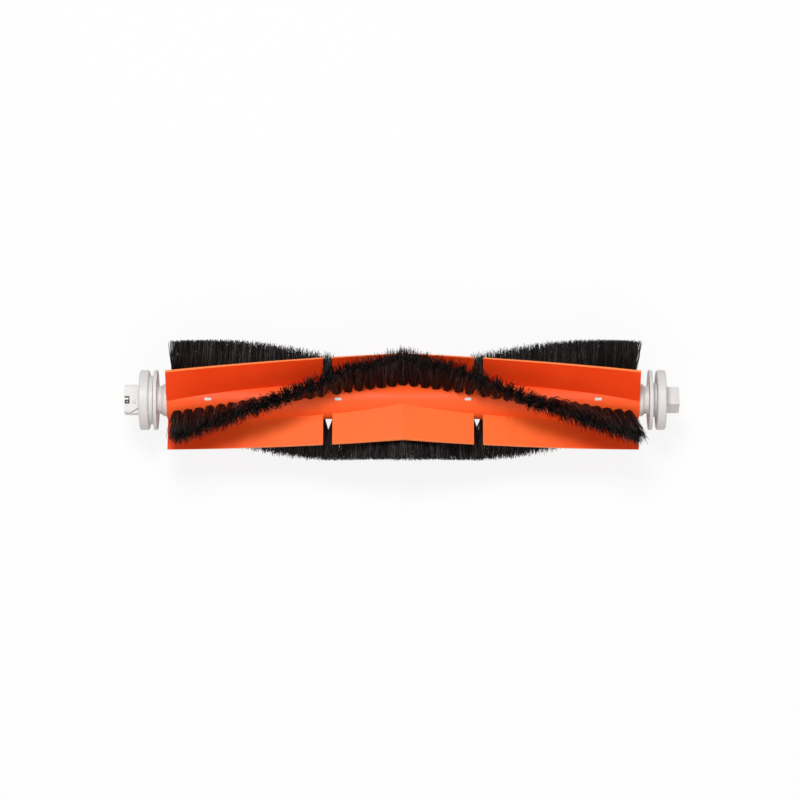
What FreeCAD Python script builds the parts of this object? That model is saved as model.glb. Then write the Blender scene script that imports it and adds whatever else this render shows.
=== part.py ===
import FreeCAD, Part
import Sketcher
import os

# Main roller brush of a robot vacuum cleaner: a white moulded shaft inside an orange rubber sleeve
# with three V-shaped blades, three V-shaped rows of black bristle tufts between the blades, a square
# drive at one end and a bearing cap, which pulls off its pin for cleaning, at the other.
# Millimetres and degrees. X runs along the roller towards the drive, Z is up, and the origin is on the
# roller's axis at the middle of the sleeve. Angles around the roller are counted from +Y towards +Z.
# It lies as it comes to rest, on the middle tuft of one row and the two end tufts of the next.

SIZES = {
    # rubber sleeve and its blades
    "sleeve_length": 169.5,
    "sleeve_diameter": 13.8,
    "blade_tip_diameter": 35.8,
    "blade_root_thickness": 1.3,
    "blade_tip_thickness": 0.8,
    "blade_angle": 43.7,
    "blade_lead": 5.3,
    "blade_sweep": 10.4,
    "blade_middle_length": 50.7,
    "blade_gap": 3.3,
    "blade_trim": 1.0,
    # bristle tufts and the sockets that they stand in
    "tuft_end_length": 3.8,
    "tuft_root_length": 2.5,
    "tuft_root_width": 2.6,
    "tuft_tip_gap": 0.15,
    "tuft_tip_width": 4.4,
    "tuft_free_length": 14.9,
    "socket_depth": 2.0,
    "row_break_length": 5.9,
    "root_angle_at_middle": 32.0,
    "root_angle_at_end": 142.0,
    "lean_angle_at_middle": 52.0,
    "lean_angle_at_end": 130.7,
    # windows in the sleeve through which lugs of the shaft show
    "lug_length": 2.4,
    "lug_width": 1.0,
    "lug_end_length": 14.85,
    "lug_angle": 92.0,
    # shaft, from the sleeve outwards
    "shaft_diameter": 8.0,
    "collar_diameter": 11.8,
    "collar_length": 1.1,
    "cone_length": 1.1,
    "neck_diameter": 9.9,
    "neck_length": 1.3,
    "disc_diameter": 21.6,
    "guard_thickness": 1.2,
    "drive_groove_width": 1.6,
    "drive_hub_diameter": 12.2,
    "flange_thickness": 3.2,
    "flange_chamfer": 0.4,
    "drive_width": 7.0,
    "drive_length": 5.0,
    "drive_angle": 66.9,
    # steel pin, the bush that runs on it and the thrust washer between bush and shaft
    "pin_diameter": 5.0,
    "pin_seat": 12.0,
    "pin_overhang": 0.5,
    "pin_chamfer": 0.4,
    "boss_diameter": 6.8,
    "boss_height": 0.6,
    "washer_diameter": 10.0,
    "washer_thickness": 0.5,
    "bush_diameter": 8.0,
    "bush_length": 5.5,
    "bush_flange_diameter": 12.0,
    "bush_flange_thickness": 1.0,
    # bearing cap
    "cap_groove_width": 1.7,
    "cap_hub_diameter": 17.6,
    "cap_flange_thickness": 3.4,
    "cap_pin_room": 0.8,
    "block_width": 10.2,
    "block_length": 5.5,
    "block_corner": 0.7,
    "notch_length": 3.7,
    "notch_width": 2.2,
    "notch_depth": 1.2,
    # clearances
    "press_fit": 0.02,
    "running_fit": 0.04,
    "cap_clearance": 0.3,
    "socket_clearance": 0.05,
    "lug_clearance": 0.05,
    "recess_clearance": 0.1,
}

ROWS = 3
MIDDLE_TUFTS = 13
SIDE_TUFTS = 14
LUGS_IN_A_LINE = 4
SAME_LENGTH = 0.001

doc = FreeCAD.newDocument("roller_brush")
sheet = doc.addObject("Spreadsheet::Sheet", "Sizes")
for line, (alias, number) in enumerate(SIZES.items(), start=1):
    sheet.set(f"A{line}", alias)
    sheet.set(f"B{line}", str(number))
    sheet.setAlias(f"B{line}", alias)
doc.recompute()


class Size:
    """A number together with the sheet formula that gives it."""

    def __init__(self, value, formula):
        self.value = value
        self.formula = formula

    def __add__(self, other):
        other = as_size(other)
        return Size(self.value + other.value, f"({self.formula} + {other.formula})")

    def __sub__(self, other):
        other = as_size(other)
        return Size(self.value - other.value, f"({self.formula} - {other.formula})")

    def __mul__(self, factor):
        factor = as_size(factor)
        return Size(self.value * factor.value, f"({self.formula} * {factor.formula})")

    def __truediv__(self, other):
        other = as_size(other)
        return Size(self.value / other.value, f"({self.formula} / {other.formula})")

    def __neg__(self):
        return Size(-self.value, f"(-1 * {self.formula})")


def as_size(number):
    return number if isinstance(number, Size) else Size(number, repr(number))


def size(alias):
    return Size(sheet.get(alias), f"Sizes.{alias}")


def bind(feature, **properties):
    """Ties properties of a feature to the sheet."""
    for name, amount in properties.items():
        feature.setExpression(name.replace("__", "."), as_size(amount).formula)


def origin(body, role):
    return next(feature for feature in body.Origin.OriginFeatures if feature.Role == role)


def draw(body, name, plane, *loops, lift=0, turn=None):
    """A sketch of closed straight-sided loops on one of the body's planes.

    Each corner is held by its two distances from the sketch's origin. lift moves the sketch along the
    plane's normal, and turn is an axis and an angle that the plane is first turned by.
    """
    sketch = body.newObject("Sketcher::SketchObject", name)
    sketch.AttachmentSupport = [(origin(body, plane), "")]
    sketch.MapMode = "FlatFace"
    if turn:
        axis, angle = turn
        sketch.AttachmentOffset = FreeCAD.Placement(FreeCAD.Vector(), FreeCAD.Rotation(axis, angle.value))
        bind(sketch, AttachmentOffset__Rotation__Angle=angle)
    bind(sketch, AttachmentOffset__Base__z=lift)
    for loop in loops:
        first = sketch.GeometryCount
        corners = [(as_size(x), as_size(y)) for x, y in loop]
        points = [FreeCAD.Vector(x.value, y.value, 0) for x, y in corners]
        count = len(corners)
        for index in range(count):
            side = Part.LineSegment(points[index], points[(index + 1) % count])
            sketch.addGeometry(side, False)
        for index, (x, y) in enumerate(corners):
            after = first + (index + 1) % count
            sketch.addConstraint(Sketcher.Constraint("Coincident", first + index, 2, after, 1))
            hold(sketch, "DistanceX", first + index, x)
            hold(sketch, "DistanceY", first + index, y)
    return sketch


def hold(sketch, kind, side, distance):
    """Holds a side's start point at a distance from the sketch's origin, or on its axis."""
    if distance.value == 0:
        axis = -2 if kind == "DistanceX" else -1
        sketch.addConstraint(Sketcher.Constraint("PointOnObject", side, 1, axis))
        return
    number = sketch.addConstraint(Sketcher.Constraint(kind, -1, 1, side, 1, distance.value))
    sketch.setExpression(f"Constraints[{number}]", distance.formula)


def new_body(label):
    body = doc.addObject("PartDesign::Body", label)
    body.Label = label
    return body


def revolve(body, name, profile, kind="PartDesign::Revolution"):
    """Turns a profile of distances along and from the X axis into a solid of revolution."""
    feature = body.newObject(kind, name)
    feature.Profile = draw(body, f"{name}_profile", "XY_Plane", profile)
    feature.ReferenceAxis = (origin(body, "X_Axis"), [""])
    feature.Angle = 360
    return feature


def groove(body, name, profile):
    return revolve(body, name, profile, kind="PartDesign::Groove")


def extrude(body, name, sketch, length, cut=False, backwards=False):
    feature = body.newObject("PartDesign::Pocket" if cut else "PartDesign::Pad", name)
    feature.Profile = sketch
    feature.Reversed = backwards
    bind(feature, Length=length)
    return feature


def repeat_around(body, name, features, count):
    """Repeats features evenly around the roller's axis."""
    pattern = body.newObject("PartDesign::PolarPattern", name)
    pattern.Originals = features
    pattern.Axis = (origin(body, "X_Axis"), [""])
    pattern.Angle = 360
    pattern.Occurrences = count
    body.Tip = pattern
    return pattern


def turn_about_axis(feature, angle):
    feature.Placement = FreeCAD.Placement(FreeCAD.Vector(), FreeCAD.Rotation(ALONG, angle.value))
    bind(feature, Placement__Rotation__Angle=angle)


def rectangle(x_min, x_max, y_min, y_max):
    return [(x_min, y_min), (x_max, y_min), (x_max, y_max), (x_min, y_max)]


ALONG = FreeCAD.Vector(1, 0, 0)
UPWARD = FreeCAD.Vector(0, 0, 1)

sleeve_end = size("sleeve_length") / 2
sleeve_radius = size("sleeve_diameter") / 2
shaft_radius = size("shaft_diameter") / 2
disc_radius = size("disc_diameter") / 2
guard_inside = sleeve_end + size("collar_length") + size("cone_length") + size("neck_length")
guard_outside = guard_inside + size("guard_thickness")
boss_face = guard_outside + size("boss_height")


# Shaft: one white moulding. Under the sleeve it is a plain rod, whose lugs fill windows in the rubber.
# At each end a collar, a cone and a neck lead to a thin hair guard; the drive end goes on with a hub,
# a flange and the square drive, and the other end has a boss and a blind hole for the steel pin.
lug_pitch = (sleeve_end - size("lug_end_length")) * 2 / (LUGS_IN_A_LINE - 1)


def lug_outlines(clearance):
    """Four windows in a line along X, as long octagons."""
    half_length = size("lug_length") / 2 + clearance
    half_width = size("lug_width") / 2 + clearance
    corner = half_width / 2
    for index in range(LUGS_IN_A_LINE):
        middle = lug_pitch * (index - (LUGS_IN_A_LINE - 1) / 2)
        yield [
            (middle - half_length + corner, -half_width),
            (middle + half_length - corner, -half_width),
            (middle + half_length, -half_width + corner),
            (middle + half_length, half_width - corner),
            (middle + half_length - corner, half_width),
            (middle - half_length + corner, half_width),
            (middle - half_length, half_width - corner),
            (middle - half_length, -half_width + corner),
        ]


def end_profile(side):
    """The collar, cone, neck and hair guard at one end, from the rod outwards."""
    collar_outside = sleeve_end + size("collar_length")
    cone_outside = collar_outside + size("cone_length")
    collar_radius = size("collar_diameter") / 2
    neck_radius = size("neck_diameter") / 2
    steps = [
        (sleeve_end, shaft_radius),
        (sleeve_end, collar_radius),
        (collar_outside, collar_radius),
        (cone_outside, neck_radius),
        (guard_inside, neck_radius),
        (guard_inside, disc_radius),
        (guard_outside, disc_radius),
    ]
    return [(along * side, radius) for along, radius in steps]


core_shaft = new_body("core_shaft")
hub_radius = size("drive_hub_diameter") / 2
boss_radius = size("boss_diameter") / 2
pin_hole_radius = size("pin_diameter") / 2 + size("press_fit")
pin_hole_end = boss_face - size("pin_seat")
flange_inside = guard_outside + size("drive_groove_width")
flange_outside = flange_inside + size("flange_thickness")
flange_chamfer = size("flange_chamfer")
revolve(core_shaft, "shaft", [
    (-pin_hole_end, 0),
    (-pin_hole_end, pin_hole_radius),
    (-boss_face, pin_hole_radius),
    (-boss_face, boss_radius),
    (-guard_outside, boss_radius),
    *reversed(end_profile(-1)),
    *end_profile(1),
    (guard_outside, hub_radius),
    (flange_inside, hub_radius),
    (flange_inside, disc_radius - flange_chamfer),
    (flange_inside + flange_chamfer, disc_radius),
    (flange_outside - flange_chamfer, disc_radius),
    (flange_outside, disc_radius - flange_chamfer),
    (flange_outside, 0),
])
half_drive = size("drive_width") / 2
drive_square = draw(
    core_shaft, "drive_square", "YZ_Plane", rectangle(-half_drive, half_drive, -half_drive, half_drive),
    lift=flange_outside, turn=(UPWARD, size("drive_angle")),
)
extrude(core_shaft, "drive", drive_square, size("drive_length"))
lug_plane = (ALONG, size("lug_angle") - 90)
lug_sketch = draw(core_shaft, "lug_outlines", "XY_Plane", *lug_outlines(0), turn=lug_plane)
lugs = extrude(core_shaft, "lugs", lug_sketch, sleeve_radius)
repeat_around(core_shaft, "lugs_all_round", [lugs], ROWS)


# Sleeve: orange rubber moulded over the rod. Each blade is a flat plate set askew on the round sleeve,
# mirrored about the roller's middle to make a V, and broken twice along its length. The plate stands
# straight out half way along each arm of the V, ahead of the axis at the middle and behind it at the end.
sleeve_body = new_body("sleeve_moulding")
revolve(sleeve_body, "rod", rectangle(-sleeve_end, sleeve_end, 0, sleeve_radius))
blade_tip_radius = size("blade_tip_diameter") / 2


def blade_arm(name, side, start, end):
    """One stretch of a blade, from start to end along the arm that points to the given side."""
    slope = size("blade_sweep") / sleeve_end
    offset = -size("blade_lead") + slope * start
    root_half = size("blade_root_thickness") / 2
    tip_half = size("blade_tip_thickness") / 2
    tip = blade_tip_radius + size("blade_trim")
    section = draw(sleeve_body, f"{name}_section", "YZ_Plane", [
        (0, offset - root_half),
        (tip, offset - tip_half),
        (tip, offset + tip_half),
        (0, offset + root_half),
    ], lift=start * side)
    arm = extrude(sleeve_body, name, section, end - start)
    arm.UseCustomVector = True
    arm.Direction = FreeCAD.Vector(side, 0, slope.value)
    bind(arm, Direction__z=slope)
    arm.AlongSketchNormal = True
    return arm


middle_end = size("blade_middle_length") / 2
outer_start = middle_end + size("blade_gap")
arms = []
for side, hand in ((1, "drive_side"), (-1, "cap_side")):
    arms.append(blade_arm(f"middle_blade_{hand}", side, as_size(0), middle_end))
    arms.append(blade_arm(f"outer_blade_{hand}", side, outer_start, sleeve_end))
repeat_around(sleeve_body, "blades", arms, ROWS)
trim_outside = blade_tip_radius + size("blade_trim") + size("blade_sweep")
trim_end = sleeve_end + size("blade_trim")
groove(sleeve_body, "tip_trim", rectangle(-trim_end, trim_end, -trim_outside, -blade_tip_radius))
bore_radius = shaft_radius + size("press_fit")
groove(sleeve_body, "bore", rectangle(-sleeve_end, sleeve_end, 0, bore_radius))
window_plane = (ALONG, size("lug_angle") - size("blade_angle") - 90)
window_sketch = draw(
    sleeve_body, "window_outlines", "XY_Plane", *lug_outlines(size("lug_clearance")), turn=window_plane,
)
windows = extrude(sleeve_body, "windows", window_sketch, sleeve_radius * 2, cut=True, backwards=True)
repeat_around(sleeve_body, "windows_all_round", [windows], ROWS)
turn_about_axis(sleeve_body, size("blade_angle"))


# Tufts: each row is a V of bundles, with a wider space at each break of the blades. A tuft is a
# four-sided bundle that widens towards its tip and stands on the floor of a socket of the same taper.
# It leans less than its place on the sleeve would give, so the row's tips are straighter than its roots.
row_length = sleeve_end - size("tuft_end_length") - size("row_break_length")
tuft_pitch = row_length / (SIDE_TUFTS - 1 + (MIDDLE_TUFTS - 1) / 2)
tuft_breadths = {
    "X": (size("tuft_root_length"), tuft_pitch - size("tuft_tip_gap")),
    "Z": (size("tuft_root_width"), size("tuft_tip_width")),
}


def bundle(name, top, clearance):
    """A tapered four-sided solid, its foot a socket's depth below the sleeve's surface."""
    foot = size("socket_depth")
    share = (foot + top) / (foot + size("tuft_free_length"))
    wedge = doc.addObject("Part::Wedge", name)
    wedge.Placement = FreeCAD.Placement(FreeCAD.Vector(), FreeCAD.Rotation(ALONG, 90))
    bind(wedge, Ymin=-foot, Ymax=top)
    for axis, (at_foot, at_tip) in tuft_breadths.items():
        at_top = at_foot + (at_tip - at_foot) * share
        for level, breadth in (("", at_foot), ("2", at_top)):
            half = breadth / 2 + clearance
            bind(wedge, **{f"{axis}{level}min": -half, f"{axis}{level}max": half})
    return wedge


tuft = bundle("tuft", size("tuft_free_length"), 0)
socket = bundle("socket", size("socket_depth"), size("socket_clearance"))


def tuft_stations():
    """Distances of the tufts from the roller's middle, along X."""
    pitch = tuft_pitch.value
    middle = [pitch * (index - (MIDDLE_TUFTS - 1) / 2) for index in range(MIDDLE_TUFTS)]
    outer = [middle[-1] + sheet.row_break_length + pitch * index for index in range(SIDE_TUFTS)]
    return [-distance for distance in reversed(outer)] + middle + outer


def tuft_places(row):
    """Where each tuft of a row stands: its origin on the sleeve, its local Z along the tuft."""
    stations = tuft_stations()
    row_angle = 360 / ROWS * row
    for station in stations:
        share = abs(station) / stations[-1]
        root = row_angle + blend(sheet.root_angle_at_middle, sheet.root_angle_at_end, share)
        lean = row_angle + blend(sheet.lean_angle_at_middle, sheet.lean_angle_at_end, share)
        foot = FreeCAD.Rotation(ALONG, root).multVec(FreeCAD.Vector(0, sheet.sleeve_diameter / 2, 0))
        foot.x = station
        yield FreeCAD.Placement(foot, FreeCAD.Rotation(ALONG, lean - 90))


def blend(start, end, share):
    return start + (end - start) * share


def set_in_rows(label, master, places):
    """Copies of one solid at several places, kept as separate solids of one sub-part."""
    copies = doc.addObject("Part::Feature", label)
    copies.Label = label
    solids = []
    for place in places:
        solid = master.Shape.copy()
        solid.Placement = place.multiply(master.Placement)
        solids.append(solid)
    copies.Shape = Part.makeCompound(solids)
    return copies


doc.recompute()
bristle_banks = []
all_places = []
for row in range(ROWS):
    places = list(tuft_places(row))
    all_places += places
    banks = {
        "cap_end": places[:SIDE_TUFTS],
        "middle": places[SIDE_TUFTS:-SIDE_TUFTS],
        "drive_end": places[-SIDE_TUFTS:],
    }
    for bank, bank_places in banks.items():
        bristle_banks.append(set_in_rows(f"bristle_row_{row + 1}_{bank}", tuft, bank_places))
sockets = set_in_rows("sockets", socket, all_places)
blade_sleeve = doc.addObject("Part::Cut", "blade_sleeve")
blade_sleeve.Label = "blade_sleeve"
blade_sleeve.Base = sleeve_body
blade_sleeve.Tool = sockets


# Pin: ground steel, pressed into the shaft. The cap's bush turns and slides on its free end.
washer_outside = boss_face + size("washer_thickness")
bush_seat = washer_outside + size("bush_flange_thickness")
bush_end = washer_outside + size("bush_length")
pin_end = bush_end + size("pin_overhang")
pin_radius = size("pin_diameter") / 2
pin_chamfer = size("pin_chamfer")
axle_pin = new_body("axle_pin")
revolve(axle_pin, "pin", [
    (-pin_end, 0),
    (-pin_end, pin_radius - pin_chamfer),
    (-pin_end + pin_chamfer, pin_radius),
    (-pin_hole_end - pin_chamfer, pin_radius),
    (-pin_hole_end, pin_radius - pin_chamfer),
    (-pin_hole_end, 0),
])

# Thrust washer: a steel ring between the shaft's boss and the bush's flange. It stays with the cap.
bush_bore = pin_radius + size("running_fit")
thrust_washer = new_body("thrust_washer")
revolve(thrust_washer, "ring", rectangle(-washer_outside, -boss_face, bush_bore, size("washer_diameter") / 2))

# Bush: flanged sintered bronze, pressed into the cap.
bush_radius = size("bush_diameter") / 2
bush_flange_radius = size("bush_flange_diameter") / 2
bearing_bush = new_body("bearing_bush")
revolve(bearing_bush, "bush", [
    (-washer_outside, bush_bore),
    (-bush_end, bush_bore),
    (-bush_end, bush_radius),
    (-bush_seat, bush_radius),
    (-bush_seat, bush_flange_radius),
    (-washer_outside, bush_flange_radius),
])

# Cap: one white moulding that holds the bush. Its hub skirt runs close to the hair guard, its flange
# matches the drive end's, and its square block sits in the vacuum's housing, so it doesn't turn there.
cap_face = guard_outside + size("cap_clearance")
cap_flange_inside = guard_outside + size("cap_groove_width")
cap_flange_outside = cap_flange_inside + size("cap_flange_thickness")
cap_recess_radius = bush_flange_radius + size("recess_clearance")
cap_bore_end = pin_end + size("cap_pin_room")
cap_hub_radius = size("cap_hub_diameter") / 2
half_block = size("block_width") / 2
bearing_cap = new_body("bearing_cap")
revolve(bearing_cap, "flange", [
    (-cap_face, cap_recess_radius),
    (-bush_seat, cap_recess_radius),
    (-bush_seat, 0),
    (-cap_flange_outside, 0),
    (-cap_flange_outside, disc_radius - flange_chamfer),
    (-cap_flange_outside + flange_chamfer, disc_radius),
    (-cap_flange_inside - flange_chamfer, disc_radius),
    (-cap_flange_inside, disc_radius - flange_chamfer),
    (-cap_flange_inside, cap_hub_radius),
    (-cap_face, cap_hub_radius),
])
block_square = draw(
    bearing_cap, "block_square", "YZ_Plane", rectangle(-half_block, half_block, -half_block, half_block),
    lift=-cap_flange_outside,
)
block = extrude(bearing_cap, "block", block_square, size("block_length"), backwards=True)
doc.recompute()
rounded = bearing_cap.newObject("PartDesign::Fillet", "block_corners")
rounded.Base = (block, [
    f"Edge{number}" for number, edge in enumerate(block.Shape.Edges, start=1)
    if abs(edge.BoundBox.XLength - sheet.block_length) < SAME_LENGTH
])
bind(rounded, Radius=size("block_corner"))
doc.recompute()
groove(bearing_cap, "bush_bore", rectangle(-cap_bore_end, -bush_seat, 0, bush_radius + size("press_fit")))
notch_outline = draw(bearing_cap, "notch_outline", "XY_Plane", [
    (-cap_flange_outside - size("notch_length"), -half_block),
    (-cap_flange_outside, -half_block),
    (-cap_flange_outside, -half_block + size("notch_width")),
], lift=half_block)
extrude(bearing_cap, "notch", notch_outline, size("notch_depth"), cut=True)

doc.recompute()
for feature in doc.Objects:
    if "Invalid" in feature.State or "Error" in feature.State:
        raise RuntimeError(f"{feature.Label} failed: {feature.State}")

sub_parts = [core_shaft, blade_sleeve, *bristle_banks, axle_pin, thrust_washer, bearing_bush, bearing_cap]
for sub_part in sub_parts:
    if sub_part.Shape.isNull() or not sub_part.Shape.isValid():
        raise RuntimeError(f"{sub_part.Label} has no valid shape")
os.makedirs("parts", exist_ok=True)
for sub_part in sub_parts:
    sub_part.Shape.exportStep(f"parts/{sub_part.Label}.step")
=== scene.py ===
import functools
import math

import bpy
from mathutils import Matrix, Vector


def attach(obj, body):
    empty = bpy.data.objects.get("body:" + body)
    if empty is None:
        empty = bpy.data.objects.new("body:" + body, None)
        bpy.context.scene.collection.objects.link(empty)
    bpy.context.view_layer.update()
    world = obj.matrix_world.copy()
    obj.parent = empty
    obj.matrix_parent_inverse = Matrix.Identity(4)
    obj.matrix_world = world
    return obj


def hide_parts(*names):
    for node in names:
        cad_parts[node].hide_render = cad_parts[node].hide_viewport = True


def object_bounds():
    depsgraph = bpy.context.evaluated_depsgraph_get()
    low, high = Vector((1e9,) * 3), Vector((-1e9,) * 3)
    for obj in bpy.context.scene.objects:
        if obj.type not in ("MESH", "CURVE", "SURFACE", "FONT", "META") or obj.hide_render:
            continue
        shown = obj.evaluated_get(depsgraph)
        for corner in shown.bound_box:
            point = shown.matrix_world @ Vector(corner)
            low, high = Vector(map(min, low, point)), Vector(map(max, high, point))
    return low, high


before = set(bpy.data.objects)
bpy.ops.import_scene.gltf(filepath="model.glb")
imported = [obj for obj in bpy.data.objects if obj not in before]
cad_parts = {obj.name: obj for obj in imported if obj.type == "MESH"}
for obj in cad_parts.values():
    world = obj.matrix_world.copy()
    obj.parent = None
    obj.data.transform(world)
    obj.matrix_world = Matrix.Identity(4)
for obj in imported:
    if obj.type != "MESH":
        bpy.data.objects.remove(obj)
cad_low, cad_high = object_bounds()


# Shaft. One white moulding of stiff plastic, with collars, hair guards, the drive flange and the square
# drive. Its satin skin comes from a spark-eroded mould, so it has a fine grain and no gloss.
GRAIN_RELIEF = 0.00005
TONE_SPAN = (0.3, 0.7)
SATIN_ROUGHNESS = (0.42, 0.55)


def add_node(tree, kind, settings=None, **inputs):
    """A node with settings and inputs; an input is a value or another node's output socket."""
    node = tree.nodes.new(kind)
    for name, value in (settings or {}).items():
        setattr(node, name, value)
    for name, value in inputs.items():
        feed(tree, in_use(node.inputs, name.replace("_", " ")), value)
    return node


def in_use(sockets, name):
    """The socket of that name which the node's settings leave in use."""
    return next(socket for socket in sockets if socket.name == name and socket.enabled)


def feed(tree, socket, value):
    """Links another node's output to a socket, or gives the socket a plain value."""
    if isinstance(value, bpy.types.NodeSocket):
        tree.links.new(value, socket)
    else:
        socket.default_value = value


def object_place(tree):
    return add_node(tree, "ShaderNodeTexCoord").outputs["Object"]


def noise(tree, place, scale, detail):
    return add_node(tree, "ShaderNodeTexNoise", Vector=place, Scale=scale, Detail=detail).outputs["Fac"]


def grain_group():
    """Fine moulded grain with soft clouds of tone, shared by the plastic and the rubber."""
    tree = bpy.data.node_groups.new("moulded_grain", "ShaderNodeTree")
    sockets = tree.interface
    for name in ("Grain Scale", "Grain Depth", "Cloud Scale"):
        sockets.new_socket(name, in_out="INPUT", socket_type="NodeSocketFloat")
    sockets.new_socket("Tone", in_out="OUTPUT", socket_type="NodeSocketFloat")
    sockets.new_socket("Normal", in_out="OUTPUT", socket_type="NodeSocketVector")
    given = tree.nodes.new("NodeGroupInput").outputs
    result = tree.nodes.new("NodeGroupOutput").inputs
    place = object_place(tree)
    clouds = noise(tree, place, given["Cloud Scale"], detail=4.0)
    grain = noise(tree, place, given["Grain Scale"], detail=2.0)
    relief = add_node(
        tree, "ShaderNodeBump", Strength=given["Grain Depth"], Distance=GRAIN_RELIEF, Height=grain,
    )
    feed(tree, result["Tone"], clouds)
    feed(tree, result["Normal"], relief.outputs["Normal"])
    return tree


def new_material(name):
    material = bpy.data.materials.new(name)
    material.use_nodes = True
    return material, material.node_tree


def set_skin(tree, **inputs):
    """Sets or links the sockets of a material's own shader."""
    skin = tree.nodes["Principled BSDF"]
    for name, value in inputs.items():
        feed(tree, skin.inputs[name.replace("_", " ")], value)


def two_tones(tree, mask, dark, light, span=TONE_SPAN):
    """A colour that goes from dark to light as a mask crosses a span."""
    ramp = add_node(tree, "ShaderNodeValToRGB", Fac=mask)
    for element, position, colour in zip(ramp.color_ramp.elements, span, (dark, light)):
        element.position = position
        element.color = (*colour, 1)
    return ramp.outputs["Color"]


def mapped(tree, value, before, after):
    """A value brought from one range into another, and held inside it."""
    return add_node(
        tree, "ShaderNodeMapRange", Value=value,
        From_Min=before[0], From_Max=before[1], To_Min=after[0], To_Max=after[1],
    ).outputs["Result"]


def grained_material(name, grain_scale, grain_depth, cloud_scale):
    """A satin material with the moulded grain in it, and the grain's tone for its colours."""
    material, tree = new_material(name)
    grain = add_node(
        tree, "ShaderNodeGroup", {"node_tree": moulded_grain},
        Grain_Scale=grain_scale, Grain_Depth=grain_depth, Cloud_Scale=cloud_scale,
    ).outputs
    roughness = mapped(tree, grain["Tone"], TONE_SPAN, SATIN_ROUGHNESS)
    set_skin(tree, Roughness=roughness, Normal=grain["Normal"])
    return material, tree, grain["Tone"]


def dress(name, material):
    """Gives a carried-over solid its finish."""
    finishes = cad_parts[name].data.materials
    finishes.clear()
    finishes.append(material)


moulded_grain = grain_group()
white_plastic, tree, tone = grained_material(
    "satin_white_plastic", grain_scale=9000.0, grain_depth=0.25, cloud_scale=140.0,
)
set_skin(tree, Base_Color=two_tones(tree, tone, (0.645, 0.629, 0.619), (0.70, 0.686, 0.676)), IOR=1.5)
dress("core_shaft", white_plastic)


# Sleeve. Soft orange rubber moulded over the shaft's rod, with three V-shaped blades in three stretches
# each. One side of a blade is painted deep orange as painted shade, the other paler as painted light; the
# pale side gets a painted shadow towards the roller's ends, and the thin tips get a painted highlight.
ROLLER_AXIS = (1.0, 0.0, 0.0)
NONE_TO_ALL = (0.0, 1.0)
SHADE_TO_LIGHT_FACING = (0.75, -0.6)
BLADE_FOOT_RADII = (0.0072, 0.0088)
BLADE_TIP_RADII = (0.01778, 0.01788)
TIP_HIGHLIGHT = 0.85
PAINTED_SHADOW_STRETCH = (0.042, 0.072)
PAINTED_SHADOW_DEPTH = 0.85


def node_maths(tree, operation, *terms):
    """What a Math node makes of its terms."""
    node = add_node(tree, "ShaderNodeMath", {"operation": operation})
    for socket, term in zip(node.inputs, terms):
        feed(tree, socket, term)
    return node.outputs["Value"]


def node_vectors(tree, operation, *terms, output="Vector"):
    """What a Vector Math node makes of its terms."""
    node = add_node(tree, "ShaderNodeVectorMath", {"operation": operation})
    for socket, term in zip(node.inputs, terms):
        feed(tree, socket, term)
    return node.outputs[output]


def mixed_colour(tree, share, first, second):
    return add_node(tree, "ShaderNodeMixRGB", Fac=share, Color1=first, Color2=second).outputs["Color"]


orange_rubber, tree, tone = grained_material(
    "satin_orange_rubber", grain_scale=6000.0, grain_depth=0.3, cloud_scale=90.0,
)
coordinates = add_node(tree, "ShaderNodeTexCoord").outputs
way_round = node_vectors(tree, "CROSS_PRODUCT", ROLLER_AXIS, coordinates["Object"])
one_way = node_vectors(tree, "NORMALIZE", way_round)
facing = node_vectors(tree, "DOT_PRODUCT", one_way, coordinates["Normal"], output="Value")
from_axis = node_vectors(tree, "LENGTH", way_round, output="Value")
lengthwise = add_node(tree, "ShaderNodeSeparateXYZ", Vector=coordinates["Object"]).outputs["X"]
from_middle = node_maths(tree, "ABSOLUTE", lengthwise)

# The blade side facing one way round the roller gets the pale orange as painted light, the other side the
# deep orange as painted shade; the core gets a mix of the two.
painted_light_side = mapped(tree, facing, SHADE_TO_LIGHT_FACING, NONE_TO_ALL)
on_blade = mapped(tree, from_axis, BLADE_FOOT_RADII, NONE_TO_ALL)
# Towards the roller's ends the blades' pale side is deepened again: a painted shadow of the bristle rows.
painted_shadow_share = mapped(tree, from_middle, PAINTED_SHADOW_STRETCH, (0.0, PAINTED_SHADOW_DEPTH))
painted_light_left = node_maths(tree, "SUBTRACT", 1.0, node_maths(tree, "MULTIPLY", on_blade, painted_shadow_share))
painted_light_share = node_maths(tree, "MULTIPLY", painted_light_side, painted_light_left)
shaded_copy_orange = two_tones(tree, tone, (0.96, 0.056, 0.006), (1.0, 0.066, 0.008))
lit_copy_orange = two_tones(tree, tone, (0.97, 0.135, 0.021), (1.0, 0.155, 0.026))
blade_colour = mixed_colour(tree, painted_light_share, shaded_copy_orange, lit_copy_orange)
# The blades' thin tips are painted paler: a painted highlight along their lit edges.
painted_tip_highlight = mapped(tree, from_axis, BLADE_TIP_RADII, (0.0, TIP_HIGHLIGHT))
rubber_colour = mixed_colour(tree, painted_tip_highlight, blade_colour, (1.0, 0.27, 0.075, 1))
set_skin(tree, Base_Color=rubber_colour, Specular_IOR_Level=0.2)
dress("blade_sleeve", orange_rubber)


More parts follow.
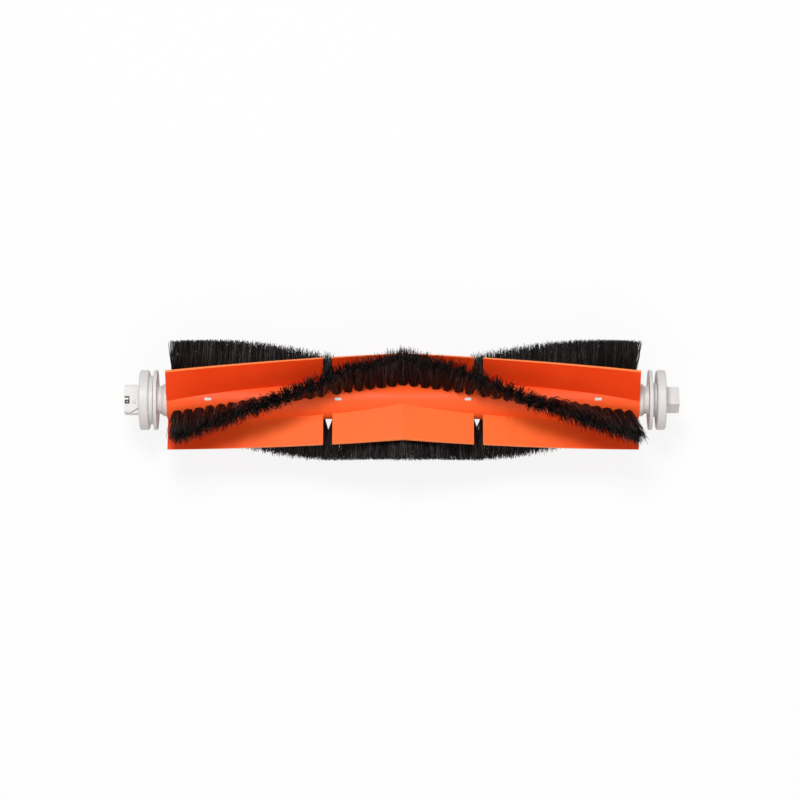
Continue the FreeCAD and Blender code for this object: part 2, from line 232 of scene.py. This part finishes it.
# Bristle rows. Black nylon fibres bunched into tufts, each tuft pushed into a hole in the rubber, and the
# tufts set in three V-shaped rows. Fibres splay a little towards their trimmed tips.
ROWS = 3
ROW_TURN = 120.0
MIDDLE_TUFTS = 13
SIDE_TUFTS = 14
ROW_TUFTS = 2 * SIDE_TUFTS + MIDDLE_TUFTS
TUFT_PITCH = 0.00395
ROW_BREAK = 0.0059
SLEEVE_RADIUS = 0.0069
ROOT_ANGLES = (32.0, 142.0)
LEAN_ANGLES = (52.0, 130.7)
COMBED_ROUND = (-5.0, -5.0, 3.5)
COMBED_SHARE = 0.6
LONGER_MIDDLE = 0.0010
LONGER_SHARE = 0.13
BREAK_LEANS = (0.0020, 0.0009)
CAP_END_LEAN = 0.0008
BRUSHED_TUFTS = 8
BRUSHED_LEANS = (0.0025, 0.0014, 0.0014)
OUTWARD_SPREAD = (0.4, 1.3)
FIBRE_STATIONS = 5
FIBRE_SIDES = 3
FIBRE_CROWDING = 0.45
STATION_CROWDING = 1.35
TIP_THINNING = 0.45
THINNING_POWER = 3.0
SEED_STEP = 20


def bristle_nodes():
    """Turns tuft roots into fibres; a root carries its lean, its tip's outward shift and its extra length."""
    tree = bpy.data.node_groups.new("bristle_fibres", "GeometryNodeTree")
    sockets = tree.interface
    sockets.new_socket("Tuft Roots", in_out="INPUT", socket_type="NodeSocketGeometry")
    for name in ("Fibres in a Tuft", "Seed"):
        sockets.new_socket(name, in_out="INPUT", socket_type="NodeSocketInt")
    for name in (
        "Root Length", "Root Width", "Tip Length", "Tip Width", "Foot Depth", "Free Length", "Uneven Trim",
        "Splay Along", "Splay Across", "Flare", "Curl", "Stray Share", "Stray Reach", "Fibre Diameter",
    ):
        sockets.new_socket(name, in_out="INPUT", socket_type="NodeSocketFloat")
    sockets.new_socket("Nylon", in_out="INPUT", socket_type="NodeSocketMaterial")
    sockets.new_socket("Fibres", in_out="OUTPUT", socket_type="NodeSocketGeometry")
    given = tree.nodes.new("NodeGroupInput").outputs
    result = tree.nodes.new("NodeGroupOutput").inputs
    maths = functools.partial(node_maths, tree)

    def times(vector, factor):
        node = add_node(tree, "ShaderNodeVectorMath", {"operation": "SCALE"}, Scale=factor)
        feed(tree, node.inputs[0], vector)
        return node.outputs["Vector"]

    def total(*vectors):
        return functools.reduce(functools.partial(node_vectors, tree, "ADD"), vectors)

    def draw_lot(number, low, high):
        seed = maths("ADD", given["Seed"], float(number))
        node = add_node(tree, "FunctionNodeRandomValue", {"data_type": "FLOAT"}, Min=low, Max=high, Seed=seed)
        return in_use(node.outputs, "Value")

    def read(name, kind):
        node = add_node(tree, "GeometryNodeInputNamedAttribute", {"data_type": kind}, Name=name)
        return node.outputs["Attribute"]

    def store(geometry, name, kind, value):
        node = add_node(
            tree, "GeometryNodeStoreNamedAttribute", {"data_type": kind},
            Geometry=geometry, Name=name, Value=value,
        )
        return node.outputs["Geometry"]

    def in_axes(x, y, z):
        return add_node(tree, "ShaderNodeCombineXYZ", X=x, Y=y, Z=z).outputs["Vector"]

    roots = add_node(tree, "GeometryNodeMeshToPoints", Mesh=given["Tuft Roots"]).outputs["Points"]
    starts = add_node(
        tree, "GeometryNodeDuplicateElements", {"domain": "POINT"},
        Geometry=roots, Amount=given["Fibres in a Tuft"],
    ).outputs["Geometry"]

    lean = read("lean", "FLOAT")
    cosine = maths("COSINE", lean)
    sine = maths("SINE", lean)
    along_row = ROLLER_AXIS
    up_tuft = in_axes(0.0, cosine, sine)
    across_row = in_axes(0.0, maths("MULTIPLY", sine, -1.0), cosine)

    bearing = draw_lot(1, 0.0, 2 * math.pi)
    reach = maths("POWER", draw_lot(2, 0.0, 1.0), FIBRE_CROWDING)
    place_along = maths("MULTIPLY", reach, maths("COSINE", bearing))
    place_across = maths("MULTIPLY", reach, maths("SINE", bearing))
    root_along = maths("MULTIPLY", place_along, maths("MULTIPLY", given["Root Length"], 0.5))
    root_across = maths("MULTIPLY", place_across, maths("MULTIPLY", given["Root Width"], 0.5))
    foot = total(
        add_node(tree, "GeometryNodeInputPosition").outputs["Position"],
        times(up_tuft, maths("MULTIPLY", given["Foot Depth"], -1.0)),
        times(along_row, root_along),
        times(across_row, root_across),
    )

    is_stray = maths("LESS_THAN", draw_lot(3, 0.0, 1.0), given["Stray Share"])
    stray = maths("MULTIPLY", is_stray, given["Stray Reach"])
    splay_along = maths(
        "ADD", maths("MULTIPLY", draw_lot(4, -1.0, 1.0), given["Splay Along"]),
        maths("MULTIPLY", draw_lot(5, -1.0, 1.0), stray),
    )
    splay_across = maths(
        "ADD", maths("MULTIPLY", draw_lot(6, -1.0, 1.0), given["Splay Across"]),
        maths("MULTIPLY", draw_lot(7, -1.0, 1.0), stray),
    )
    outward = maths("MULTIPLY", read("outward", "FLOAT"), draw_lot(8, *OUTWARD_SPREAD))
    trim = maths("MULTIPLY", given["Uneven Trim"], draw_lot(9, 0.0, 1.0))
    full_height = maths("ADD", given["Free Length"], read("longer", "FLOAT"))
    height = maths("MULTIPLY", full_height, maths("SUBTRACT", 1.0, trim))
    tip_along = maths(
        "ADD", maths("ADD", splay_along, outward),
        maths("MULTIPLY", place_along, maths("MULTIPLY", given["Tip Length"], 0.5)),
    )
    tip_across = maths(
        "ADD", splay_across,
        maths("MULTIPLY", place_across, maths("MULTIPLY", given["Tip Width"], 0.5)),
    )
    rise = times(up_tuft, maths("ADD", height, given["Foot Depth"]))
    spread = total(
        times(along_row, maths("SUBTRACT", tip_along, root_along)),
        times(across_row, maths("SUBTRACT", tip_across, root_across)),
    )
    curl = total(
        times(along_row, maths("MULTIPLY", draw_lot(10, -1.0, 1.0), given["Curl"])),
        times(across_row, maths("MULTIPLY", draw_lot(11, -1.0, 1.0), given["Curl"])),
    )
    starts = store(starts, "fibre_foot", "FLOAT_VECTOR", foot)
    starts = store(starts, "fibre_rise", "FLOAT_VECTOR", rise)
    starts = store(starts, "fibre_spread", "FLOAT_VECTOR", spread)
    starts = store(starts, "fibre_curl", "FLOAT_VECTOR", curl)
    starts = store(starts, "fibre_tone", "FLOAT", draw_lot(12, 0.0, 1.0))

    straight = add_node(tree, "GeometryNodeCurvePrimitiveLine", Start=(0.0, 0.0, 0.0), End=(0.0, 0.0, 1.0))
    line = add_node(
        tree, "GeometryNodeResampleCurve", Curve=straight.outputs["Curve"], Count=FIBRE_STATIONS,
    ).outputs["Curve"]
    copies = add_node(tree, "GeometryNodeInstanceOnPoints", Points=starts, Instance=line).outputs["Instances"]
    lines = add_node(tree, "GeometryNodeRealizeInstances", Geometry=copies).outputs["Geometry"]
    even_share = add_node(tree, "GeometryNodeSplineParameter").outputs["Factor"]
    share = maths("POWER", even_share, STATION_CROWDING)
    bow = maths("MULTIPLY", maths("MULTIPLY", share, maths("SUBTRACT", 1.0, share)), 4.0)
    whole_length = maths("ADD", given["Foot Depth"], given["Free Length"])
    buried_share = maths("DIVIDE", given["Foot Depth"], whole_length)
    free_share = mapped(tree, share, (buried_share, 1.0), NONE_TO_ALL)
    path = total(
        read("fibre_foot", "FLOAT_VECTOR"),
        times(read("fibre_rise", "FLOAT_VECTOR"), share),
        times(read("fibre_spread", "FLOAT_VECTOR"), maths("POWER", free_share, given["Flare"])),
        times(read("fibre_curl", "FLOAT_VECTOR"), bow),
    )
    lines = add_node(tree, "GeometryNodeSetPosition", Geometry=lines, Position=path).outputs["Geometry"]
    lines = store(lines, "along", "FLOAT", share)
    outline = add_node(
        tree, "GeometryNodeCurvePrimitiveCircle",
        Resolution=FIBRE_SIDES, Radius=maths("MULTIPLY", given["Fibre Diameter"], 0.5),
    ).outputs["Curve"]
    thinned = maths("MULTIPLY", maths("POWER", share, THINNING_POWER), TIP_THINNING)
    fibres = add_node(
        tree, "GeometryNodeCurveToMesh",
        Curve=lines, Profile_Curve=outline, Scale=maths("SUBTRACT", 1.0, thinned), Fill_Caps=True,
    ).outputs["Mesh"]
    fibres = add_node(tree, "GeometryNodeSetShadeSmooth", Geometry=fibres).outputs["Geometry"]
    fibres = add_node(tree, "GeometryNodeRealizeInstances", Geometry=fibres).outputs["Geometry"]
    fibres = add_node(tree, "GeometryNodeSetMaterial", Geometry=fibres, Material=given["Nylon"])
    feed(tree, result["Fibres"], fibres.outputs["Geometry"])
    return tree


black_nylon, tree = new_material("black_nylon_bristle")
along = add_node(tree, "ShaderNodeAttribute", {"attribute_name": "along"}).outputs["Fac"]
tone = add_node(tree, "ShaderNodeAttribute", {"attribute_name": "fibre_tone"}).outputs["Fac"]
# The fibres' feet are tinted red-brown: painted bounce light from the orange rubber.
foot_colour_painted_bounce = two_tones(tree, tone, (0.005, 0.0025, 0.002), (0.013, 0.005, 0.004))
# Part of the fibres turn pale grey towards their tips: painted glints.
tip_colour_painted_glint = two_tones(tree, tone, (0.006, 0.005, 0.005), (0.150, 0.136, 0.133), span=(0.68, 1.0))
set_skin(
    tree, Base_Color=mixed_colour(tree, along, foot_colour_painted_bounce, tip_colour_painted_glint),
    Roughness=mapped(tree, tone, TONE_SPAN, (0.5, 0.3)), Specular_IOR_Level=0.16,
)


def tuft_stations():
    """Where the tufts of a row stand along the roller, from the cap's end to the drive's."""
    middle = [TUFT_PITCH * (number - (MIDDLE_TUFTS - 1) / 2) for number in range(MIDDLE_TUFTS)]
    outer = [middle[-1] + ROW_BREAK + TUFT_PITCH * number for number in range(SIDE_TUFTS)]
    return [-distance for distance in reversed(outer)] + middle + outer


def blend_between(pair, share):
    return pair[0] + (pair[1] - pair[0]) * share


def fibre_lean(row, share):
    """A tuft's lean at a share of the way from the middle to the end; the inner tufts are combed round."""
    combed = math.sin(math.pi * min(share / COMBED_SHARE, 1.0)) ** 2
    return blend_between(LEAN_ANGLES, share) + COMBED_ROUND[row] * combed


def tip_lean(row, number):
    """How far a tuft's tip leans along its row: into each break to close it, and to the drive at the ends."""
    from_last = ROW_TUFTS - 1 - number
    if from_last < BRUSHED_TUFTS:
        return BRUSHED_LEANS[row] * math.sqrt(1 - from_last / BRUSHED_TUFTS)
    for after_break in (SIDE_TUFTS, SIDE_TUFTS + MIDDLE_TUFTS):
        for step, lean in enumerate(BREAK_LEANS):
            if number == after_break + step:
                return -lean
            if number == after_break - 1 - step:
                return lean
    return CAP_END_LEAN if number == 0 else 0.0


def tuft_roots(name, row, numbers):
    """A point at the root of each tuft, with what its fibres need as the points' attributes."""
    points = []
    carried = {"lean": [], "outward": [], "longer": []}
    for number in numbers:
        share = abs(stations[number]) / stations[-1]
        root = math.radians(blend_between(ROOT_ANGLES, share) + ROW_TURN * row)
        points.append((stations[number], SLEEVE_RADIUS * math.cos(root), SLEEVE_RADIUS * math.sin(root)))
        carried["lean"].append(math.radians(fibre_lean(row, share) + ROW_TURN * row))
        carried["outward"].append(tip_lean(row, number))
        carried["longer"].append(LONGER_MIDDLE * max(0.0, 1 - share / LONGER_SHARE))
    mesh = bpy.data.meshes.new(name)
    mesh.from_pydata(points, [], [])
    for attribute, values in carried.items():
        mesh.attributes.new(attribute, "FLOAT", "POINT").data.foreach_set("value", values)
    return mesh


def put_in_scene(name, data):
    placed = bpy.data.objects.new(name, data)
    bpy.context.collection.objects.link(placed)
    return placed


def make_plain(piece, name):
    """Turns a piece with modifiers into a plain mesh of its own."""
    graph = bpy.context.evaluated_depsgraph_get()
    mesh = bpy.data.meshes.new_from_object(piece.evaluated_get(graph), depsgraph=graph)
    mesh.name = name
    piece.modifiers.clear()
    piece.data = mesh


fibre_tree = bristle_nodes()
fibre_sizes = {
    "Fibres in a Tuft": 230,
    "Root Length": 0.0029,
    "Root Width": 0.0036,
    "Tip Length": 0.0050,
    "Tip Width": 0.0060,
    "Foot Depth": 0.0018,
    "Free Length": 0.0149,
    "Uneven Trim": 0.058,
    "Splay Along": 0.0017,
    "Splay Across": 0.0014,
    "Flare": 0.8,
    "Curl": 0.0006,
    "Stray Share": 0.04,
    "Stray Reach": 0.0016,
    "Fibre Diameter": 0.00023,
    "Nylon": black_nylon,
}
stations = tuft_stations()
banks = {
    "cap_end": range(SIDE_TUFTS),
    "middle": range(SIDE_TUFTS, SIDE_TUFTS + MIDDLE_TUFTS),
    "drive_end": range(SIDE_TUFTS + MIDDLE_TUFTS, ROW_TUFTS),
}
identifiers = {socket.name: socket.identifier for socket in fibre_tree.interface.items_tree}
seed = 0
for row in range(ROWS):
    for bank, numbers in banks.items():
        name = f"bristles_row_{row + 1}_{bank}"
        bristles = put_in_scene(name, tuft_roots(name, row, numbers))
        grow = bristles.modifiers.new("fibres", "NODES")
        grow.node_group = fibre_tree
        seed += SEED_STEP
        for size_name, amount in {**fibre_sizes, "Seed": seed}.items():
            grow[identifiers[size_name]] = amount
        make_plain(bristles, name)
        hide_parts(f"bristle_row_{row + 1}_{bank}")
        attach(bristles, "roller")


# Pin and thrust washer. Ground steel: the pin is pressed into the shaft, and the washer lies loose on it
# between the shaft and the bush. Both show only when the cap is pulled off.
SCRATCH_SCALES = (9000.0, 300.0, 300.0)
ground_steel, tree = new_material("ground_steel")
stretched = add_node(tree, "ShaderNodeMapping", Vector=object_place(tree), Scale=SCRATCH_SCALES)
scratches = noise(tree, stretched.outputs["Vector"], scale=1.0, detail=3.0)
set_skin(
    tree, Base_Color=two_tones(tree, scratches, (0.50, 0.50, 0.51), (0.66, 0.66, 0.67)),
    Metallic=1.0, Roughness=mapped(tree, scratches, TONE_SPAN, (0.24, 0.38)),
)
for name in ("axle_pin", "thrust_washer"):
    dress(name, ground_steel)


# Bush. A flanged ring of sintered bronze full of oil, pressed into the cap so that the cap turns on the
# pin. Its skin is dull and finely pitted.
sintered_bronze, tree = new_material("sintered_bronze")
pores = noise(tree, object_place(tree), scale=5000.0, detail=3.0)
set_skin(
    tree, Base_Color=two_tones(tree, pores, (0.30, 0.18, 0.08), (0.56, 0.37, 0.18)),
    Metallic=1.0, Roughness=mapped(tree, pores, TONE_SPAN, (0.5, 0.38)),
)
dress("bearing_bush", sintered_bronze)


# Cap. White moulding of the same plastic as the shaft, holding the bush; its square block carries a
# raised arrow and a printed lock sign that show which way it is fitted.
MILLIMETRES = 1000
CORNER_STEPS = 4
BLOCK_TOP = 0.0051
SIGN_SINK = 0.00001
INK_RISE = 0.00004
ARROW_RISE = 0.00036
ARROW_TAPER = 0.35
dress("bearing_cap", white_plastic)


def raised_shape(name, outlines, rise, material, taper=1.0):
    """Anticlockwise outlines in millimetres made into low solids on the block; taper narrows their tops."""
    foot_height = BLOCK_TOP - SIGN_SINK
    corners = []
    faces = []
    for outline in outlines:
        count = len(outline)
        foot = list(range(len(corners), len(corners) + count))
        centre_x = sum(x for x, y in outline) / count
        centre_y = sum(y for x, y in outline) / count
        for width, height in ((1.0, foot_height), (taper, foot_height + rise)):
            for x, y in outline:
                corner_x = centre_x + (x - centre_x) * width
                corner_y = centre_y + (y - centre_y) * width
                corners.append((corner_x / MILLIMETRES, corner_y / MILLIMETRES, height))
        faces.append(foot[::-1])
        faces.append([corner + count for corner in foot])
        for here, there in zip(foot, foot[1:] + foot[:1]):
            faces.append((here, there, there + count, here + count))
    mesh = bpy.data.meshes.new(name)
    mesh.from_pydata(corners, [], faces)
    mesh.materials.append(material)
    piece = put_in_scene(name, mesh)
    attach(piece, "end_cap")
    return piece


def quarter_arc(centre_x, centre_y, radius, start):
    """Points on a quarter of a circle, from a start in degrees."""
    for step in range(CORNER_STEPS + 1):
        angle = math.radians(start + 90 * step / CORNER_STEPS)
        yield (centre_x + radius * math.cos(angle), centre_y + radius * math.sin(angle))


def rounded_box(x_min, x_max, y_min, y_max, corner):
    return [
        *quarter_arc(x_max - corner, y_max - corner, corner, 0),
        *quarter_arc(x_min + corner, y_max - corner, corner, 90),
        *quarter_arc(x_min + corner, y_min + corner, corner, 180),
        *quarter_arc(x_max - corner, y_min + corner, corner, 270),
    ]


sign_ink, tree = new_material("sign_ink")
specks = noise(tree, object_place(tree), scale=7000.0, detail=2.0)
set_skin(
    tree, Base_Color=two_tones(tree, specks, (0.010, 0.009, 0.009), (0.028, 0.024, 0.023)),
    Roughness=mapped(tree, specks, TONE_SPAN, (0.5, 0.65)),
)
lock_left, lock_right = -99.85, -98.05
body_bottom, body_top = -1.75, -0.3
keyhole_left, keyhole_right = -99.13, -98.77
keyhole_bottom, keyhole_top = -1.2, -0.85
leg_left, leg_right = -98.5, -98.1
bow_bottom, bow_top = 0.38, 0.97
lock_sign = raised_shape("lock_sign", [
    rounded_box(lock_left, lock_right, body_bottom, keyhole_bottom, corner=0.15),
    rounded_box(lock_left, keyhole_left, keyhole_bottom, keyhole_top, corner=0.02),
    rounded_box(keyhole_right, lock_right, keyhole_bottom, keyhole_top, corner=0.02),
    rounded_box(lock_left, lock_right, keyhole_top, body_top, corner=0.12),
    rounded_box(leg_left, leg_right, body_top, bow_bottom, corner=0.02),
    rounded_box(lock_left, leg_right, bow_bottom, bow_top, corner=0.2),
], INK_RISE, sign_ink)
arrow_outline = [(-97.3, -1.05), (-95.9, -2.15), (-95.9, 0.05)]
arrow_mark = raised_shape("arrow_mark", [arrow_outline], ARROW_RISE, white_plastic, ARROW_TAPER)


# Floor and light. A pale flat floor under the roller, a soft light high above it towards the far side, a
# broader and weaker one in front, and an even white surround.
FLOOR_LIFT = 0.86
FLOOR_REACH = 3.0
FLOOR_DROP = 0.00005
AMBIENT = 0.21
WHITE = (1, 1, 1, 1)


def seen_rays(tree):
    """One for the rays that show the background: from the camera, off gloss and through glass."""
    rays = add_node(tree, "ShaderNodeLightPath").outputs
    seen = rays["Is Camera Ray"]
    for name in ("Is Glossy Ray", "Is Transmission Ray"):
        seen = node_maths(tree, "MAXIMUM", seen, rays[name])
    return seen


floor_material, tree = new_material("pale_floor")
set_skin(tree, Base_Color=(0.88, 0.88, 0.88, 1), Roughness=0.9, Specular_IOR_Level=0.0)
lift = mapped(tree, seen_rays(tree), NONE_TO_ALL, (0.0, FLOOR_LIFT))
plain_white = add_node(tree, "ShaderNodeEmission", Color=WHITE, Strength=1.0)
lifted = add_node(tree, "ShaderNodeMixShader", Fac=lift)
feed(tree, lifted.inputs[1], tree.nodes["Principled BSDF"].outputs["BSDF"])
feed(tree, lifted.inputs[2], plain_white.outputs["Emission"])
feed(tree, tree.nodes["Material Output"].inputs["Surface"], lifted.outputs["Shader"])
floor_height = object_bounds()[0].z - FLOOR_DROP
floor_corners = [
    (x * FLOOR_REACH, y * FLOOR_REACH, floor_height) for x, y in [(-1, -1), (1, -1), (1, 1), (-1, 1)]
]
floor_mesh = bpy.data.meshes.new("floor")
floor_mesh.from_pydata(floor_corners, [], [(0, 1, 2, 3)])
floor_mesh.materials.append(floor_material)
floor = put_in_scene("floor", floor_mesh)

surround = bpy.data.worlds.new("surround")
surround.use_nodes = True
tree = surround.node_tree
background = tree.nodes["Background"].inputs
feed(tree, background["Color"], WHITE)
feed(tree, background["Strength"], mapped(tree, seen_rays(tree), NONE_TO_ALL, (AMBIENT, 1.0)))
bpy.context.scene.world = surround


def soft_light(name, place, breadth, power, colour):
    """A round lamp that shines on the middle of the roller."""
    light = bpy.data.lights.new(name, "AREA")
    light.shape = "DISK"
    light.size = breadth
    light.energy = power
    light.color = colour
    lamp = put_in_scene(name, light)
    lamp.location = place
    to_roller = (cad_low + cad_high) / 2 - lamp.location
    lamp.rotation_euler = to_roller.to_track_quat("-Z", "Y").to_euler()


soft_light("key_light", (-0.1, 0.38, 1.05), breadth=0.35, power=8.5, colour=(1.0, 1.0, 1.0))
soft_light("fill_light", (0.05, -0.56, 1.03), breadth=1.3, power=6.3, colour=(1.0, 0.92, 0.88))


# Camera. It stands in front of the roller and looks down on it from five degrees short of straight above.
# A long lens keeps the two ends at almost the same scale.
ELEVATION = math.radians(85)
DISTANCE = 1.3
AIM_X = -0.0011
lens = bpy.data.cameras.new("camera")
lens.lens = 162.5
lens.sensor_width = 36
camera = put_in_scene("camera", lens)
camera.location = (AIM_X, -DISTANCE * math.cos(ELEVATION), DISTANCE * math.sin(ELEVATION))
camera.rotation_euler = (math.pi / 2 - ELEVATION, 0, 0)
bpy.context.scene.camera = camera

bpy.context.scene.view_settings.view_transform = "Standard"
